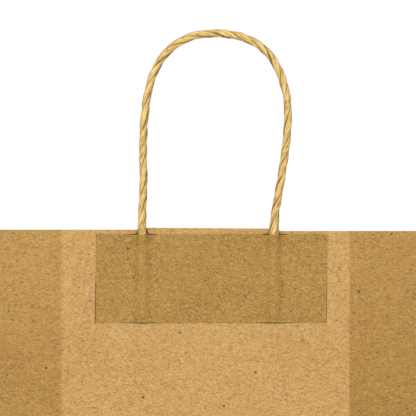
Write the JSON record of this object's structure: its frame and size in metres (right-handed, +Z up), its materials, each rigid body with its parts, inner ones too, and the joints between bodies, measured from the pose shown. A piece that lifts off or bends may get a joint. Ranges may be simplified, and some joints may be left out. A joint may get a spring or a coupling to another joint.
{
  "type": "gift bag",
  "caption": "Open brown kraft paper gift bag with folding side gussets, a flat base and looped handles of twisted paper cord.",
  "frame": {"origin": "centre of the underside of the base", "axes": "+X along the bag's width, +Y from the front panel to the back panel, +Z up"},
  "size_m": [0.28, 0.1363, 0.4439],
  "materials": {
    "bag_paper": "matte",
    "patch_paper": "matte",
    "cord_paper": "matte",
    "paper_glue": "satin"
  },
  "bodies": {
    "front_wall": {"front_panel": "bag_paper", "front_patch_glue": "paper_glue", "front_patch_backing": "patch_paper", "front_patch_cover": "patch_paper", "front_cord_ends": "cord_paper"},
    "front_handle": {"front_handle_cord": "cord_paper"},
    "right_gusset_front": {"right_gusset_front_half": "bag_paper"},
    "right_gusset_back": {"right_gusset_back_half": "bag_paper"},
    "left_gusset_front": {"left_gusset_front_half": "bag_paper"},
    "left_gusset_back": {"left_gusset_back_half": "bag_paper"},
    "back_wall": {"back_panel": "bag_paper", "side_seam_lap": "bag_paper", "side_seam_glue": "paper_glue", "back_patch_glue": "paper_glue", "back_patch_backing": "patch_paper", "back_patch_cover": "patch_paper", "back_cord_ends": "cord_paper", "back_cord_bends": "cord_paper"},
    "back_handle": {"back_handle_cord": "cord_paper"},
    "back_foot": {"back_panel_foot": "bag_paper", "foot_seam_lap": "bag_paper", "foot_seam_glue": "paper_glue"},
    "base": {"base_front_flap": "bag_paper", "base_back_flap": "bag_paper", "base_glue": "paper_glue", "base_left_tuck": "bag_paper", "base_right_tuck": "bag_paper"}
  },
  "joints": [
    {"name": "bag_collapse", "type": "hinge", "parent": "front_wall", "child": "right_gusset_front", "pos_m": [0.13935, -0.0578, 0.165], "axis": [0, 0, 1], "range_deg": [0, 90]},
    {"name": "left_front_crease", "type": "hinge", "parent": "front_wall", "child": "left_gusset_front", "pos_m": [-0.13935, -0.0578, 0.165], "axis": [0, 0, 1], "range_deg": [-90, 0]},
    {"name": "right_centre_crease", "type": "hinge", "parent": "right_gusset_front", "child": "right_gusset_back", "pos_m": [0.14015, 0, 0.165], "axis": [0, 0, 1], "range_deg": [-180, 0]},
    {"name": "left_centre_crease", "type": "hinge", "parent": "left_gusset_front", "child": "left_gusset_back", "pos_m": [-0.14015, 0, 0.165], "axis": [0, 0, 1], "range_deg": [0, 180]},
    {"name": "right_back_crease", "type": "hinge", "parent": "right_gusset_back", "child": "back_wall", "pos_m": [0.13935, 0.0578, 0.165], "axis": [0, 0, 1], "range_deg": [0, 90]},
    {"name": "foot_crease", "type": "hinge", "parent": "back_wall", "child": "back_foot", "pos_m": [0, 0.05845, 0.058], "axis": [1, 0, 0], "range_deg": [0, 180]},
    {"name": "base_crease", "type": "hinge", "parent": "back_foot", "child": "base", "pos_m": [0, 0.0575, 0.0011], "axis": [1, 0, 0], "range_deg": [-90, 0]},
    {"name": "front_handle_fold", "type": "hinge", "parent": "front_wall", "child": "front_handle", "pos_m": [0, -0.0656, 0.327], "axis": [1, 0, 0], "range_deg": [0, 180]},
    {"name": "back_handle_fold", "type": "hinge", "parent": "back_wall", "child": "back_handle", "pos_m": [0, 0.0656, 0.327], "axis": [1, 0, 0], "range_deg": [0, 180], "deforming": ["back_cord_bends"]}
  ],
  "couplings": [
    {"joint": "left_front_crease", "follows": "bag_collapse", "ratio": -1},
    {"joint": "right_centre_crease", "follows": "bag_collapse", "ratio": -2},
    {"joint": "left_centre_crease", "follows": "bag_collapse", "ratio": 2},
    {"joint": "right_back_crease", "follows": "bag_collapse", "ratio": 1},
    {"joint": "foot_crease", "follows": "bag_collapse", "ratio": 2},
    {"joint": "base_crease", "follows": "bag_collapse", "ratio": -1}
  ]
}
